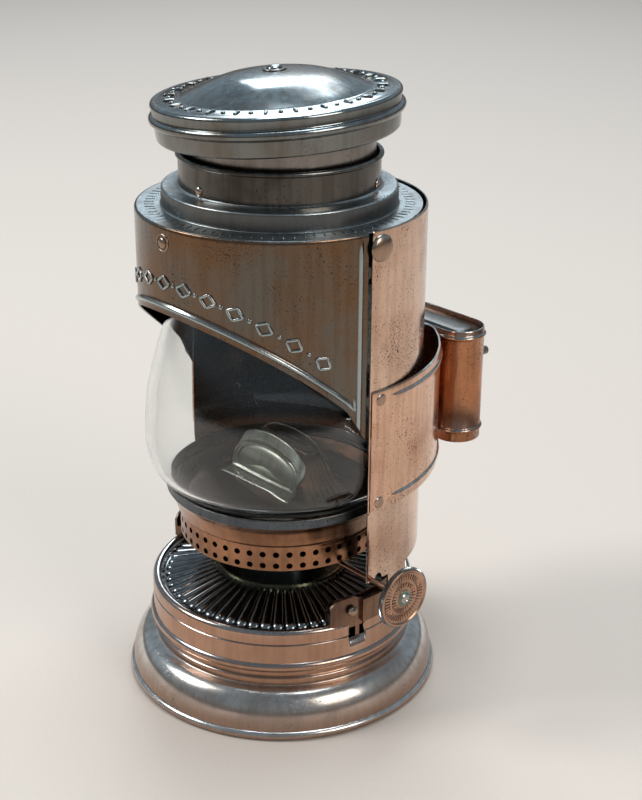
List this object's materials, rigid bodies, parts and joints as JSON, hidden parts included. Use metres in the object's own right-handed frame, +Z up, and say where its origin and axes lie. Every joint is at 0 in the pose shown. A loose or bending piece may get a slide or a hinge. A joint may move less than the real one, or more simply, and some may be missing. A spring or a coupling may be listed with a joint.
{
  "type": "railway hand lantern",
  "caption": "Nickel-plated kerosene hand lantern with a flared font, flat-wick burner, glass globe, tilting front hood, loose chimney cap and a strap with a flat box behind.",
  "frame": {"origin": "on the lantern's axis, at the plane it stands on", "axes": "+Z up along the lantern's axis; the open front faces -Y; the thumb wheel is on the +X side"},
  "size_m": [0.1124, 0.1291, 0.2013],
  "materials": {
    "foot_nickel": "bright satin nickel plate with fine pitting",
    "inner_tin": "dull inner sheet",
    "fluted_tin": "dark worn plate with bright ridges",
    "burner_brass": "coppery brown aged brass",
    "dome_brass": "glossy dark brown, scorched, with specks",
    "seat_steel": "dark speckled sheet with a bright lower edge",
    "deflector_steel": "satin grey-green plates, brown at the ends",
    "wheel_copper": "worn copper brown with a little verdigris",
    "rivet_nickel": "worn nickel, dark round the edges",
    "wick_cotton": "woven cotton, charred at the top",
    "clear_glass": "clear blown glass with faint marks",
    "bracket_nickel": "tarnished nickel, copper brown where worn",
    "body_nickel": "warm tarnished nickel plate with small dark pits",
    "lid_steel": "dark worn sheet",
    "stud_steel": "dark steel",
    "hood_nickel": "grey-brown polished nickel plate",
    "top_nickel": "cool mirror-polished nickel plate",
    "cap_nickel": "cool mirror-polished nickel plate, light scratches",
    "sleeve_steel": "dark inner sheet"
  },
  "bodies": {
    "lantern": {"foot_skirt": "foot_nickel", "foot_rim_wire": "foot_nickel", "font_wall": "foot_nickel", "font_bottom": "inner_tin", "fluted_top": "fluted_tin", "font_collar": "burner_brass", "burner_base": "burner_brass", "gallery": "burner_brass", "globe_seat_ring": "seat_steel", "air_dome": "dome_brass", "flame_deflector": "deflector_steel", "wick_tube": "burner_brass", "shaft_bush": "burner_brass", "side_bracket_right": "bracket_nickel", "side_bracket_left": "bracket_nickel", "bracket_rivets": "rivet_nickel", "shield": "body_nickel", "pivot_rivets": "rivet_nickel", "strap_band": "body_nickel", "strap_rivets": "rivet_nickel", "box_body": "body_nickel", "box_floor": "body_nickel", "back_studs": "stud_steel"},
    "hood": {"hood_canopy": "hood_nickel", "hood_rivet": "rivet_nickel", "top_plate": "top_nickel", "neck_step": "top_nickel", "neck_ring": "top_nickel", "neck_studs": "top_nickel"},
    "cap": {"cap_pan": "cap_nickel", "cap_sleeve": "sleeve_steel", "cap_knob": "cap_nickel"},
    "wick_wheel": {"wick_shaft": "burner_brass", "spur_wheels": "burner_brass", "thumb_wheel": "wheel_copper", "wheel_hub": "rivet_nickel"},
    "wick": {"wick": "wick_cotton"},
    "globe": {"globe": "clear_glass"},
    "box_lid": {"box_lid": "lid_steel"}
  },
  "joints": [
    {"name": "hood_tilt", "type": "hinge", "parent": "lantern", "child": "hood", "pos_m": [0, 0, 0.1556], "axis": [-1, 0, 0], "range_deg": [0, 28]},
    {"name": "cap_lift", "type": "slide", "parent": "hood", "child": "cap", "axis": [0, 0, 1], "range_m": [0, 0.012]},
    {"name": "wheel_turn", "type": "hinge", "parent": "lantern", "child": "wick_wheel", "pos_m": [0, -0.0015, 0.0484], "axis": [1, 0, 0], "range_deg": [-180, 270]},
    {"name": "wick_slide", "type": "slide", "parent": "lantern", "child": "wick", "axis": [0, 0, 1], "range_m": [-0.0075, 0.0112]},
    {"name": "globe_lift", "type": "slide", "parent": "lantern", "child": "globe", "axis": [0, 0, 1], "range_m": [0, 0.003]},
    {"name": "lid_lift", "type": "slide", "parent": "lantern", "child": "box_lid", "axis": [0, 0, 1], "range_m": [0, 0.012]}
  ],
  "couplings": [
    {"joint": "wick_slide", "follows": "wheel_turn", "m_per_rad": 0.0023}
  ]
}
